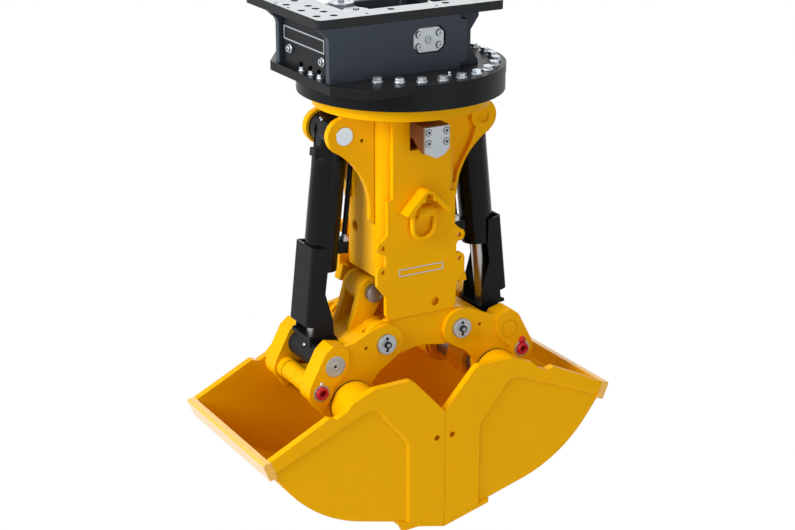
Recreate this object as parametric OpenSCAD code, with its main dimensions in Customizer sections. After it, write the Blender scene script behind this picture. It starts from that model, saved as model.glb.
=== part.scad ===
// Hydraulic clamshell bucket with slewing ring, hanging under an adapter box.
// Millimetres. +Z up, front is -Y. Origin: centre of the adapter's top plate, on its upper face.

/* [Adapter] */
// Length of the top plate along X
top_len = 452; // [430:2:480]
// Depth of the top plate along Y
top_depth = 352; // [340:2:380]
// Thickness of the top plate
top_t = 20; // [14:1:26]
// Clear height of the box between top and base plate
box_h = 115; // [105:1:140]
// Distance from the top plate's centre to the slewing axis along X
slew_x = 36; // [32:1:40]
// Distance from the top plate's centre to the slewing axis along Y
slew_y = -54; // [-58:1:-50]
// Half the distance over the two side plates
box_half = 123; // [118:1:128]
// Thickness of the side plates
side_t = 15; // [10:1:20]
// Radius of the mounting holes in the top plate
mount_hole_r = 8.5; // [7:0.5:10]
// Mounting hole spacing along X
mount_dx = 344; // [330:2:350]
// Mounting hole spacing along Y
mount_dy = 280; // [270:2:290]

/* [Slewing ring] */
// Thickness of the base plate
base_t = 20; // [14:1:26]
// Radius of the round base plate
base_r = 230; // [226:1:236]
// Rim of the base plate beyond the fixed race
base_rim = 1; // [0.5:0.5:6]
// Distance of the bolt circle from the fixed race's outer face
bolt_edge = 22.5; // [22:0.5:23]
// Width of the fixed race
race_wall = 41; // [39:0.5:42]
// Height of the fixed race
race_h = 37; // [34:1:46]
// Number of ring bolts
bolt_count = 28; // [20:1:32]
// Radius of a ring bolt's shank
bolt_r = 6; // [5:0.5:7]
// Wall of the turning race outside the gear's pitch circle
gear_wall = 20; // [18:0.5:22]
// Teeth of the inner gear ring
ring_teeth = 84; // [84:4:84]
// Teeth of a slewing pinion
pinion_teeth = 20; // [20:2:20]

/* [Column] */
// Radius of the flange under the slewing ring
flange_r = 196; // [192:1:200]
// Thickness of the flange
flange_t = 29; // [26:1:32]
// Half width of the column's tube along X
tube_x = 100; // [96:1:104]
// Half depth of the column's tube along Y
tube_y = 82; // [80:1:84]
// Wall of the column's tube
tube_wall = 10; // [8:1:12]
// Corner radius of the column's tube
tube_corner = 32; // [26:1:36]
// Lower end of the tube, below the mounting face
tube_end = 600; // [590:1:605]
// Thickness of the front and rear panels
panel_t = 12; // [10:1:14]
// Lower end of the panels
panel_end = 695; // [692:1:698]
// Radius of the ears for the cylinder pins
ear_r = 39.5; // [38:0.5:41]
// Thickness of an ear
ear_t = 17; // [14:1:19]
// Clear width between the front and the rear ear
ear_gap = 86; // [82:1:88]

/* [Pivots] */
// Arm pivot, distance from the middle
arm_x = 98; // [96:1:100]
// Arm pivot, depth below the mounting face
arm_z = 743; // [741:1:745]
// Radius of the arm's cross tube
arm_tube_r = 40; // [36:1:41]
// Upper cylinder pin, distance from the middle
head_x = 172.5; // [171:0.5:174]
// Upper cylinder pin, depth below the mounting face
head_z = 269; // [268:1:270]
// Radius of the upper cylinder pin
head_pin_r = 20; // [17:0.5:22]
// Rod pin, distance from the middle
rod_x = 227; // [225:1:229]
// Rod pin, depth below the mounting face
rod_z = 770; // [768:1:772]
// Radius of the rod pin
rod_pin_r = 14; // [12:0.5:14]
// Play of the rod pin in the arm
rod_play = 9.5; // [9:0.1:10]
// Lock pin, distance from the middle
lock_x = 262; // [261:0.5:263]
// Lock pin, depth below the mounting face
lock_z = 825; // [824:0.5:827]
// Radius of a lock bolt
lock_r = 14; // [11:0.5:15]
// Shell shaft, distance from the middle
shaft_x = 187; // [186:0.5:188]
// Shell shaft, depth below the mounting face
shaft_z = 865; // [864:0.5:866]
// Radius of the shell shaft
shaft_r = 33; // [30:0.5:34]

/* [Arms] */
// Half the clear width between the two plates of an arm
arm_half = 92; // [91:0.5:93]
// Thickness of an arm plate
arm_t = 14; // [12:1:16]
// Height of the raised pad round the rod and lock pins
pad_t = 4; // [3:1:6]
// Thickness of an arm's inner head round the rod and lock pins
head_t = 30; // [28:1:31]
// Radius of the arm's round end
arm_end_r = 44; // [43:0.5:46]
// Height of the sync pin above the left arm pivot
sync_rise = 100; // [98:1:102]
// Length of the sync lever on the right arm
sync_lever = 87; // [85:0.5:88]
// Radius of the sync link's upper eye
sync_eye_r = 33; // [30:1:34]
// Width of the sync link
sync_w = 45; // [40:1:46]
// Play of the sync pin in the right lever
sync_play = 12; // [11.5:0.5:12.5]

/* [Cylinders] */
// Outer radius of the barrel
barrel_r = 38; // [36:0.5:38]
// Distance from the head pin to the barrel's top
head_len = 58; // [54:1:58]
// Distance from the head pin to the barrel's mouth
barrel_len = 311; // [308:1:314]
// Height of the gland below the barrel
gland_h = 64; // [60:1:64]
// Radius of the piston rod
rod_r = 17.5; // [15:0.5:20]
// Radius of the rod's eye
rod_eye_r = 30; // [27:1:31]
// Width of the rod's eye
rod_eye_w = 120; // [114:1:122]
// Inner half width of the rod guard
guard_half = 38.6; // [38.6:0.1:39]
// Sheet thickness of the rod guard
guard_t = 4.5; // [4:0.5:5]

/* [Shells] */
// Outer width of the bucket along Y
shell_w = 400; // [396:2:420]
// Thickness of the shell's side plates
cheek_t = 12; // [10:1:14]
// Depth of the recess in a side plate
dish_t = 6; // [4:1:8]
// Width of that recess's bevel
dish_bevel = 9; // [6:1:12]
// Thickness of the bent floor sheet
sheet_t = 12; // [9:1:14]
// Distance of the outer lip from the middle
lip_x = 450; // [444:1:456]
// Depth of the outer lip below the mounting face
lip_z = 921; // [918:1:924]
// Depth of the seam's lower end
seam_z = 1178; // [1174:1:1182]
// Gap between the closed shells
seam_gap = 0.6; // [0.4:0.1:1]
// Bending radius of the floor sheet
bend_r = 330; // [322:2:336]
// Slope of the floor next to the seam
floor_slope = 15; // [14:0.5:15]
// Slope of the shell's back
back_slope = 53; // [52:0.5:54]
// Thickness of a tooth
tooth_t = 14; // [10:1:16]
// Spacing between neighbouring teeth of the two shells
tooth_pitch = 59; // [56:1:60]

/* [Hidden] */
$fn = 64;
fit = 0.05;
paint = "gold";
black = "dimgray";

// Levels of the stack, from the mounting face down
base_z = top_t + box_h;
race_z = base_z + base_t;
flange_z = race_z + race_h + 1;
col_z = flange_z + flange_t;

// Reach of the adapter's plates from the slewing axis
box_left = base_r + 10;
end_x = base_r + 2;
end_bolts_y = [-64, -25, 18];
end_bolt_x = end_x - 3;
end_bolt_r = 5;
box_right = 93;
base_left = base_r + 17;
rib_right = 131;

// Sizes of the slewing ring that follow from the base plate
race_r = base_r - base_rim;
bolt_circle_r = race_r - bolt_edge;
inner_race_r = race_r - race_wall;
gear_module = 2 * (inner_race_r - gear_wall) / ring_teeth;

// Gear sizes
ring_pitch_r = gear_module * ring_teeth / 2;
pinion_pitch_r = gear_module * pinion_teeth / 2;
motor_r = ring_pitch_r - pinion_pitch_r;
front_angle = 45 * 360 / ring_teeth;
rear_angle = 35 * 360 / ring_teeth;
motor_body_r = 40;
gear_h = 30;
pinion_shaft_r = 18;

// Cylinder tilt and rest length
cyl_tilt = atan2(rod_x - head_x, rod_z - head_z);
cyl_len = norm([rod_x - head_x, rod_z - head_z]);

// Sill of the valve window
valve_z = 312;

// Faces along Y
panel_y = tube_y + panel_t;
yoke_y = arm_half - 0.3;
yoke_t = 16;
arm_face = arm_half + arm_t;
pad_face = arm_face + pad_t;
cheek_y = shell_w / 2 - dish_t;

// Sync linkage
sync_up = [-arm_x + 3, -arm_z + sync_rise];
sync_low = [arm_x - sync_lever, -arm_z];
sync_pin_r = 10;
lever_w = 20;
fork_t = 17;

// Shell profile: floor, bend and back
edge_slope = atan2(30, 118 - seam_gap / 2);
floor_x = 215;
floor_drop = 7.8;
floor_z0 = -(seam_z - floor_drop);
bend_x0 = floor_x;
bend_z0 = floor_z0 + floor_x * tan(floor_slope);
bend_cx = bend_x0 - bend_r * sin(floor_slope);
bend_cz = bend_z0 + bend_r * cos(floor_slope);
back_len = 50;

// Places a shape on the slewing axis
module at_slew() translate([slew_x, slew_y, 0]) children();

// Turns a shape half a turn about the slewing axis
module half_turn() rotate([0, 0, 180]) children();

// Draws a shape and its copy on the other side of the slewing axis
module both() {
    children();
    half_turn() children();
}

// Plate in the XZ plane, from y0 to y0 + t
module plate_y(y0, t) translate([0, y0 + t, 0]) rotate([90, 0, 0]) linear_extrude(t) children();

// Plate in the YZ plane, from x0 to x0 + t
module plate_x(x0, t) translate([x0, 0, 0]) rotate([90, 0, 90]) linear_extrude(t) children();

// Round bar along Y
module bar_y(x, z, r, y0, y1) translate([x, y0, z]) rotate([-90, 0, 0]) cylinder(r = r, h = y1 - y0);

// Round bar along X
module bar_x(y, z, r, x0, x1) translate([x0, y, z]) rotate([0, 90, 0]) cylinder(r = r, h = x1 - x0);

// Rectangle with rounded corners, centred
module round_rect(w, d, r) {
    square([w - 2 * r, d], center = true);
    square([w, d - 2 * r], center = true);
    for (x = [-1, 1], y = [-1, 1]) translate([x * (w / 2 - r), y * (d / 2 - r)]) circle(r);
}

// Points on a circle between two angles
function arc_points(cx, cy, r, a0, a1, n) =
    [for (i = [0 : n]) let(a = a0 + (a1 - a0) * i / n) [cx + r * cos(a), cy + r * sin(a)]];

// Involute tooth flanks of a gear, with a little less than half a pitch per tooth
function involute(rb, r) = let(t = sqrt(max(0, (r / rb) * (r / rb) - 1))) t * 180 / PI - atan(t);
function flank(rb, rp, half, r) = half + involute(rb, rp) - involute(rb, r);
function gear_points(m, z, tip, root, half) =
    let(rp = m * z / 2, rb = rp * cos(20))
    [for (i = [0 : z - 1]) let(a = i * 360 / z)
        for (p = [[-1, root], [-1, rp], [-1, tip], [1, tip], [1, rp], [1, root]])
            let(h = flank(rb, rp, half, max(p[1], rb))) [p[1] * cos(a + p[0] * h), p[1] * sin(a + p[0] * h)]];

// Adapter

module top_plate() color("lightgray") difference() {
    translate([0, 0, -top_t]) linear_extrude(top_t) round_rect(top_len, top_depth, 14);
    translate([0, 0, -top_t - 1]) linear_extrude(top_t + 2) round_rect(262, 238, 20);
    for (x = [-1, 1], y = [-1, 1]) hole_top(x * mount_dx / 2, y * mount_dy / 2, mount_hole_r);
    for (x = [-1, 1] * (top_len / 2 - 19), y = [-131, -62, 9, 80]) hole_top(x, y, mount_hole_r);
    for (x = [-1, 1] * mount_dx / 2, y = [-95, -59, -25, 40, 95]) hole_top(x, y, mount_hole_r);
    for (x = [-37, 97], y = [-1, 1]) hole_top(x, y * mount_dy / 2, mount_hole_r);
    for (x = [-103, 65], y = [-1, 1]) hole_top(x, y * (mount_dy / 2 + 16), 4);
    for (x = [-1, 1] * (top_len / 2 - 9), y = [-21, 38]) hole_top(x, y, 4);
}

module hole_top(x, y, r) translate([x, y, -top_t - 1]) cylinder(r = r, h = top_t + 2);

module side_plates() color(black) at_slew() {
    front_side();
    mirror([0, 1, 0]) side_sheet(false);
}

module front_side() side_sheet(true);

module side_sheet(window) {
    plate_y(-box_half, side_t) difference() {
        union() {
            translate([-box_left, -base_z]) square([box_left + box_right, box_h]);
            polygon([[-box_left, -base_z + box_h], [-box_left - 22, -base_z + box_h],
                for (p = arc_points(-box_left - 22, -base_z + box_h - 30, 22, 60, 0, 5)) p]);
        }
        translate([box_right - 6, -base_z + box_h]) circle(12);
        translate([box_right - 6, -base_z]) circle(12);
        if (window) window_outline();
    }
    plate_y(-box_half + side_t, 8) polygon([[60, -base_z], [rib_right, -base_z], [rib_right, -base_z + 6],
        [rib_right - 20, -base_z + 42], [rib_right - 20, -base_z + 76], [rib_right, -base_z + 104],
        [rib_right, -top_t], [60, -top_t]]);
}

// Eight-sided window for the hose ports, made smaller by d
module window_outline(d = 0) translate([0, -67]) polygon([[d - 40, -14], [d - 26, d - 29], [26 - d, d - 29],
    [40 - d, -14], [40 - d, 14], [26 - d, 29 - d], [d - 26, 29 - d], [d - 40, 14]]);

module end_plates() color(black) at_slew() {
    plate_x(-end_x, 10) difference() {
        end_outline(box_half - side_t);
        for (y = end_bolts_y) end_arch(y);
    }
    plate_x(box_right - 18, 12) end_outline(box_half - side_t - 8);
}

// Arch over a bolt, in the plane of the end plate
module end_arch(y) {
    translate([y, -base_z + 8]) circle(12);
    translate([y - 12, -base_z - 1]) square([24, 9]);
}

module end_outline(half) translate([-half, -base_z]) square([2 * half, box_h]);

module base_plate() color(black) at_slew() difference() {
    translate([0, 0, -race_z]) linear_extrude(base_t) difference() {
        union() {
            circle(base_r, $fn = 128);
            polygon([[-base_left, -139], [-198, -213], [-87, -213], [-87, 213], [-198, 213], [-base_left, 139]]);
        }
        circle(45);
        for (a = [front_angle, rear_angle]) rotate(a) translate([motor_r, 0]) circle(motor_body_r + fit);
        bolt_holes(bolt_r + fit);
        for (y = end_bolts_y) translate([-end_bolt_x, y]) circle(end_bolt_r + fit, $fn = 24);
    }
}

// Bolt positions that stand clear of the side plates
bolt_angles = [for (i = [0 : bolt_count - 1]) let(a = -4.8 + i * 360 / bolt_count)
    if (bolt_circle_r * cos(a) > box_right || abs(abs(bolt_circle_r * sin(a)) - box_half + side_t / 2) > side_t / 2 + 13) a];

// Ring of bolt holes in plan
module bolt_holes(r) for (a = bolt_angles) rotate(a) translate([bolt_circle_r, 0]) circle(r, $fn = 24);

module fixed_race() color(black) at_slew() translate([0, 0, -race_z - race_h]) difference() {
    cylinder(r = race_r, h = race_h, $fn = 128);
    translate([0, 0, -1]) cylinder(r = inner_race_r + 0.3, h = race_h + 2, $fn = 128);
    translate([0, 0, 8]) linear_extrude(race_h) bolt_holes(bolt_r + fit);
}

module ring_bolts() color("silver") at_slew() {
    for (a = bolt_angles) rotate([0, 0, a]) translate([bolt_circle_r, 0, -base_z]) hex_bolt(bolt_r, base_t + 20);
    for (y = end_bolts_y) translate([-end_bolt_x, y, -base_z]) hex_bolt(end_bolt_r, base_t);
}

// Hexagon bolt with washer, its head standing on z = 0
module hex_bolt(r, depth) {
    cylinder(r = 2 * r, h = 2.5, $fn = 24);
    translate([0, 0, 2.5]) cylinder(r = r * 1.73, h = r * 1.25, $fn = 6);
    translate([0, 0, -depth]) cylinder(r = r, h = depth, $fn = 24);
}

// Places a shape at each slewing motor
module at_motors() at_slew() for (a = [front_angle, rear_angle]) rotate([0, 0, a]) translate([motor_r, 0, 0]) children();

module slew_motors() color(black) at_motors() difference() {
    union() {
        translate([0, 0, -race_z]) cylinder(r = motor_body_r, h = base_t);
        translate([0, 0, -base_z]) cylinder(r = motor_body_r + 1.5, h = 10);
        translate([0, 0, -base_z + 10]) cylinder(r = motor_body_r - 2, h = box_h - 21);
    }
    translate([0, 0, -race_z - 1]) cylinder(r = pinion_shaft_r + fit, h = 50);
}

module motor_caps() color("silver") at_motors() {
    translate([0, 0, -top_t - 11]) cylinder(r = motor_body_r, h = 10);
    translate([0, 0, -top_t - 1]) cylinder(r = 28, h = 14);
}

module pinion(angle) at_slew() rotate([0, 0, angle]) translate([motor_r, 0, 0]) {
    translate([0, 0, -race_z - 5 - gear_h]) linear_extrude(gear_h)
        polygon(gear_points(gear_module, pinion_teeth, pinion_pitch_r + gear_module * 0.9,
            pinion_pitch_r - gear_module * 1.15, 4.2));
    translate([0, 0, -race_z - 5]) cylinder(r = pinion_shaft_r, h = 50);
}

module pinion_front() color("gray") pinion(front_angle);
module pinion_rear() color("gray") pinion(rear_angle);

module union_housing() color(black) at_slew() difference() {
    translate([0, 0, -base_z]) cylinder(r = 55, h = 90);
    translate([0, 0, -base_z - 1]) cylinder(r = 30 + fit, h = 70);
}

module port_block() color("silver") at_slew() {
    difference() {
        plate_y(-box_half + 4, 72) window_outline(3);
        translate([0, 0, -base_z - 1]) cylinder(r = 55 + fit, h = 100);
        for (x = [-25, 25], z = [-13, 13]) bar_y(x, -67 + z, 4 + fit, -box_half, -box_half + 24);
    }
    for (x = [-25, 25], z = [-13, 13]) difference() {
        union() {
            bar_y(x, -67 + z, 6.5, -box_half - 1, -box_half + 4);
            bar_y(x, -67 + z, 4, -box_half + 4, -box_half + 22);
        }
        bar_y(x, -67 + z, 3, -box_half - 2, -box_half + 2, $fn = 6);
    }
}

// Slewing column

module gear_race() color("gray") at_slew() translate([0, 0, -flange_z]) linear_extrude(race_h - 1) difference() {
    circle(inner_race_r, $fn = 128);
    rotate(rear_angle) polygon(gear_points(gear_module, ring_teeth, ring_pitch_r + gear_module * 1.15,
        ring_pitch_r - gear_module * 0.9, 1.13));
}

module union_spindle() color("gray") at_slew() {
    translate([0, 0, -col_z - 20]) cylinder(r = 30, h = col_z + 20 - base_z + 60);
    translate([0, 0, -flange_z]) cylinder(r = 60, h = 10);
}

module flange() color(paint) at_slew() translate([0, 0, -col_z]) difference() {
    cylinder(r = flange_r, h = flange_t, $fn = 128);
    translate([0, 0, -1]) cylinder(r = 30 + fit, h = flange_t + 2);
}

module column_tube() color(paint) at_slew() {
    difference() {
        translate([0, 0, -tube_end]) linear_extrude(tube_end - col_z) difference() {
            round_rect(2 * tube_x, 2 * tube_y, tube_corner);
            round_rect(2 * (tube_x - tube_wall), 2 * (tube_y - tube_wall), tube_corner - tube_wall);
        }
        translate([-30.5, -tube_y - 1, -valve_z]) cube([61, tube_wall + 2, 200]);
        for (s = [-1, 1]) bar_x(-s * 30, -505, 12, s * tube_x - 12, s * tube_x + 12);
    }
}

// Panel outline from the flange down to the yoke, with the lugs for hose clamps
module panel_outline() difference() {
    union() {
        polygon([[-73, -col_z], [73, -col_z], [73, -418], [86, -418], [86, -497], [100, -510],
            [100, -530], [90, -545], [90, -566], [112, -580], [112, -612], [90, -640], [90, -panel_end + 11],
            [84, -panel_end], [-84, -panel_end], [-90, -panel_end + 11], [-90, -640], [-112, -612], [-112, -580], [-90, -566], [-90, -545],
            [-100, -530], [-100, -510], [-86, -497], [-86, -418], [-73, -418]]);
        for (s = [-1, 1], z = [524, 580]) translate([s * 98, -z]) circle(14);
    }
    for (s = [-1, 1], z = [524, 580]) translate([s * 98, -z]) circle(5);
    translate([37, -672]) circle(10);
}

module front_panel() color(paint) at_slew() plate_y(-panel_y, panel_t) difference() {
    panel_outline();
    translate([-30.5, -valve_z]) square([61, 200]);
}

module rear_panel() color(paint) at_slew() half_turn() plate_y(-panel_y, panel_t) panel_outline();

// Wing plate that carries one cylinder ear; x is negative on the left
module wing_outline(inner) difference() {
    union() {
        polygon([[-head_x, -col_z], [-inner, -col_z], [-inner, -478], [-109, -470], [-head_x - ear_r, -head_z]]);
        translate([-head_x, -head_z]) circle(ear_r);
    }
    translate([-268, -443]) circle(158);
    translate([-head_x - ear_r - 40, -col_z]) square([300, 60]);
}

module ear_plates() color(paint) at_slew() both() for (side = [0, 1]) mirror([side, 0, 0]) difference() {
    plate_y(-ear_gap / 2 - ear_t, ear_t) difference() {
        wing_outline(100.5);
        if (side == 0) translate([-130, -284]) circle(4);
        if (side == 0) translate([-head_x, -head_z]) circle(head_pin_r + fit);
        if (side == 1) translate([-140, -490]) square([50, 50]);
    }
    if (side == 1) plate_y(-ear_gap / 2 - ear_t - 1, ear_t - 4) wing_recess();
    if (side == 1) bar_y(-head_x, -head_z, head_pin_r + fit, -ear_gap / 2 - 12, 0);
    if (side == 1) bar_y(-head_x - 5, -head_z, 15, -100, -ear_gap / 2 - ear_t + 3);
}

// Recess in a wing plate next to the column
module wing_recess() difference() {
    polygon([[-99, -228], [-152, -228], [-161, -265], [-159, -290], [-149, -321], [-131, -352], [-112, -386],
        [-106, -412], [-99, -412]]);
    translate([-head_x, -head_z]) circle(25);
}

module yoke_plates() color(paint) at_slew() {
    stop_blocks();
    both() difference() {
        union() {
            plate_y(-yoke_y, yoke_t) yoke_outline();
            plate_y(-tube_y, 12) translate([-70, -730]) square([140, 90]);
        }
        for (s = [-1, 1]) bar_y(s * arm_x, -arm_z, arm_tube_r + fit, -yoke_y - 1, 0);
    }
}

module yoke_outline() {
    polygon([[-84, -panel_end], [84, -panel_end], [121, -706], [arm_x + 20, -arm_z - 41], [50, -779], [18, -772],
        [-18, -772], [-50, -779], [-arm_x - 20, -arm_z - 41], [-121, -706]]);
    for (s = [-1, 1]) translate([s * arm_x, -arm_z]) circle(46);
}

// Stops of the arms behind the panel's lugs
module stop_blocks() both()
    translate([112, -tube_y, -624]) rotate([0, -14, 0]) translate([-10, 0, -18]) cube([20, 26, 36]);

// Lifting points

module lift_roofs() color(paint) at_slew() {
    both() roof();
    lift_straps();
}

module roof() plate_y(-panel_y - 34, 34) difference() {
    union() {
        translate([0, -415]) circle(17);
        polygon([[-13.6, -404.8], [-56, -449], [-48, -455], [0, -405], [48, -455], [56, -449], [13.6, -404.8]]);
    }
    translate([0, -415]) circle(10);
    polygon([[0, -411], [-60, -473], [60, -473]]);
}

ring_bar_r = 6;
ring_axis_y = panel_y + 9;
ring_axis_z = 452;

module lift_straps() both() difference() {
    union() {
        bar_x(-ring_axis_y, -ring_axis_z, 14, -19, 19);
        translate([-19, -panel_y - 7, -475]) cube([38, 7, 30]);
    }
    bar_x(-ring_axis_y, -ring_axis_z, ring_bar_r + 0.1, -20, 20);
    translate([-20, -panel_y, -500]) cube([40, 30, 80]);
}

module lift_ring() translate([0, -ring_axis_y, 0]) {
    translate([0, 0, -486]) rotate([90, 0, 0]) rotate([0, 0, 180]) rotate_extrude(angle = 180)
        translate([28, 0]) circle(ring_bar_r, $fn = 32);
    for (s = [-1, 1]) {
        translate([s * 28, 0, -486]) cylinder(r = ring_bar_r, h = 486 - ring_axis_z);
        translate([s * 28, 0, -ring_axis_z]) sphere(ring_bar_r, $fn = 32);
    }
    bar_x(0, -ring_axis_z, ring_bar_r, -28, 28);
}

module lift_ring_front() color(paint) at_slew() lift_ring();
module lift_ring_rear() color(paint) at_slew() half_turn() lift_ring();

// Valve

module valve_block() color("sienna") at_slew() difference() {
    plate_x(-30.5, 61) polygon([[-150, -246], [-70, -246], [-70, -282], [-106, -282], [-140, -306], [-150, -306]]);
    for (x = [-22, 22], z = [-258, -282]) bar_y(x, z, 4 + fit, -151, -130);
}

module valve_cover() color("silver") at_slew() {
    difference() {
        plate_y(-158, 8) polygon([[-30, -247], [30, -247], [30, -298], [16, -312], [-2, -317], [-30, -304]]);
        for (x = [-22, 22], z = [-258, -282]) bar_y(x, z, 4 + fit, -159, -149);
    }
    for (x = [-22, 22], z = [-258, -282]) difference() {
        union() {
            bar_y(x, z, 6, -160, -158);
            bar_y(x, z, 4, -158, -132);
        }
        bar_y(x, z, 2.5, -161, -158.5, $fn = 6);
    }
}

// Cylinders, drawn for the left side in a frame at the head pin

module at_cylinder() at_slew() translate([-head_x, 0, -head_z]) rotate([0, cyl_tilt, 0]) children();

module head_pins() color("silver") at_slew() both()
    bar_y(-head_x, -head_z, head_pin_r, -ear_gap / 2 - ear_t - 1, ear_gap / 2 + 11.5);

module barrel() difference() {
    union() {
        bar_y(0, 0, 34, -ear_gap / 2 + 2, ear_gap / 2 - 2);
        translate([0, 0, -head_len]) cylinder(r = barrel_r - 2.5, h = head_len);
        translate([0, 0, -barrel_len + gland_h]) cylinder(r = barrel_r, h = barrel_len - gland_h - head_len);
        translate([-barrel_r - 4, -12, -head_len + 2]) cube([20, 24, 18]);
    }
    bar_y(0, 0, head_pin_r + fit, -60, 60);
    translate([0, 0, -barrel_len]) cylinder(r = barrel_r - 7, h = barrel_len - head_len - 20);
    translate([-40, -15, -36]) cube([10, 30, 80]);
}

module gland() difference() {
    union() {
        translate([0, 0, -barrel_len]) cylinder(r = barrel_r, h = gland_h);
        translate([0, 0, -barrel_len + gland_h]) cylinder(r = barrel_r - 7 - fit, h = 20);
        translate([34, -12, -277]) cube([28, 24, 26]);
    }
    translate([0, 0, -barrel_len - 1]) cylinder(r = rod_r + fit, h = gland_h + 22);
    translate([55, 0, -271]) cylinder(r = 6 + fit, h = 40);
}

module feed_pipe() {
    translate([55, 0, -271]) cylinder(r = 6, h = 271 - head_len + 12);
    translate([55, 0, -head_len + 12]) sphere(6, $fn = 32);
    bar_x(0, -head_len + 12, 6, barrel_r - 2.45, 55);
    translate([55, 0, -251]) cylinder(r = 9, h = 12, $fn = 6);
}

module rod() difference() {
    union() {
        translate([0, 0, -cyl_len + 20]) cylinder(r = rod_r, h = cyl_len - 20 - 192);
        translate([0, 0, -222]) cylinder(r = barrel_r - 7 - fit, h = 30);
        bar_y(0, -cyl_len, rod_eye_r, -rod_eye_w / 2, rod_eye_w / 2);
        translate([-24, -30, -cyl_len + 16]) cube([48, 60, 22]);
    }
    bar_y(0, -cyl_len, rod_pin_r + fit, -70, 70);
    translate([0, 0, -cyl_len + 20]) cylinder(r = 3.2, h = 12);
}

// Folded sheet guard beside the rod, open towards the column
module rod_guard() difference() {
    union() {
        intersection() {
            translate([0, 0, -cyl_len]) linear_extrude(260) guard_section();
            plate_y(-60, 120) translate([0, -cyl_len]) guard_flank();
        }
        translate([-33, -guard_half, -cyl_len + 38.3]) cube([67, 2 * guard_half, 6]);
    }
    translate([0, 0, -cyl_len + 30]) cylinder(r = rod_r + fit, h = 30);
}

// Section of the guard, with round folds
module guard_section() difference() {
    translate([7, 0]) round_rect(100, 2 * (guard_half + guard_t), 9);
    translate([7 + guard_t, 0]) round_rect(100, 2 * guard_half, 9 - guard_t);
    translate([40, -60]) square([60, 120]);
}

// Side view of the guard, above the rod pin
module guard_flank() polygon([[-43.5, 251], [-8, 249], [-2, 198], [-3, 145], [21, 85], [27, 50], [34, 44],
    [34, 38.3], [-33, 38.3], [-33, 46], [-24, 49], [-24, 68], [-43.5, 71]]);

module rod_pin() bar_y(0, -cyl_len, rod_pin_r, -arm_face + 1, arm_face - 1);

module barrel_left() color(black) at_cylinder() barrel();
module gland_left() color(black) at_cylinder() gland();
module feed_pipe_left() color(black) at_cylinder() feed_pipe();
module rod_left() color("silver") at_cylinder() rod();
module rod_guard_left() color(black) at_cylinder() rod_guard();
module rod_pin_left() color("gray") at_cylinder() rod_pin();

// The right side is the left side after half a turn about the slewing axis
module at_cylinder_right() at_slew() half_turn() translate([-head_x, 0, -head_z]) rotate([0, cyl_tilt, 0]) children();

module barrel_right() color(black) at_cylinder_right() barrel();
module gland_right() color(black) at_cylinder_right() gland();
module feed_pipe_right() color(black) at_cylinder_right() feed_pipe();
module rod_right() color("silver") at_cylinder_right() rod();
module rod_guard_right() color(black) at_cylinder_right() rod_guard();
module rod_pin_right() color("gray") at_cylinder_right() rod_pin();

// Arms, drawn for the left side

module arm_outline() difference() {
    union() {
        translate([-arm_x, -arm_z]) circle(arm_end_r);
        polygon([[-arm_x, -arm_z + 44], [-131, -705], [-178, -727], [-200, -730], [-232, -722], [-252, -738],
            [-288, -806], [-292, -830], [-252, -888], [-224, -893], [-150, -893], [-136, -870], [-132, -826],
            [-112, -803], [-86, -788]]);
        translate([-lock_x, -lock_z]) circle(30);
    }
    translate([-arm_x, -arm_z]) circle(23 + fit);
    translate([-shaft_x, -shaft_z]) circle(shaft_r + fit);
    translate([-shaft_x - shaft_r - fit, -shaft_z - 40]) square([2 * (shaft_r + fit), 40]);
    translate([-rod_x, -rod_z]) circle(rod_pin_r + rod_play);
    translate([-lock_x, -lock_z]) circle(lock_r + fit);
    translate([-148, -744]) circle(4);
}

// Outline of the raised pad and of the inner head
module pad_shape() {
    polygon([[-199, -730], [-232, -722], [-252, -738], [-288, -806], [-292, -830], [-262, -874], [-244, -850],
        [-232, -817], [-202, -792], [-192, -773], [-192, -742]]);
    translate([-lock_x, -lock_z]) circle(30);
}

module arm_half_side() {
    plate_y(-arm_face, arm_t) arm_outline();
    plate_y(-arm_half, head_t) difference() {
        pad_shape();
        translate([-rod_x, -rod_z]) circle(rod_pin_r + rod_play);
        translate([-lock_x, -lock_z]) circle(lock_r + fit);
    }
}

// Raised pad; an open one holds the disc over the rod pin, a closed one has a ring groove instead
module pad(open) difference() {
    plate_y(-pad_face, pad_t) difference() {
        pad_shape();
        if (open) translate([-rod_x, -rod_z]) circle(24 + fit);
        translate([-lock_x, -lock_z]) circle(19 + fit);
    }
    if (!open) difference() {
        bar_y(-rod_x, -rod_z, 22, -pad_face - 1, -pad_face + 1);
        bar_y(-rod_x, -rod_z, 19.5, -pad_face - 2, -pad_face + 2);
    }
}

// Sleeve round a lock bolt
module lock_sleeve(y0, y1) difference() {
    bar_y(-lock_x, -lock_z, 24, y0, y1);
    bar_y(-lock_x, -lock_z, lock_r + fit, y0 - 1, y1 + 1);
}

module arm() {
    arm_half_side();
    mirror([0, 1, 0]) arm_half_side();
    pad(true);
    mirror([0, 1, 0]) pad(false);
    lock_sleeve(-arm_half, -16);
    lock_sleeve(42, arm_half);
}

// Cross tube and cross beam between the two plates of an arm
module arm_beam() {
    difference() {
        bar_y(-arm_x, -arm_z, arm_tube_r, -arm_half, arm_half);
        bar_y(-arm_x, -arm_z, 23 + fit, -arm_half - 1, arm_half + 1);
    }
    plate_y(-arm_half, 2 * arm_half) difference() {
        beam_outline();
        translate([-arm_x, -arm_z]) circle(47);
    }
    plate_y(-68, 136) difference() {
        beam_outline();
        translate([-arm_x, -arm_z]) circle(arm_tube_r - 3);
    }
}

// Folded cross beam between the two plates of an arm
module beam_outline() polygon([[-124, -712], [-178, -735], [-184, -735], [-184, -812], [-128, -812],
    [-108, -780], [-122, -778], [-134, -800], [-172, -800], [-172, -746], [-128, -728]]);

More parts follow.
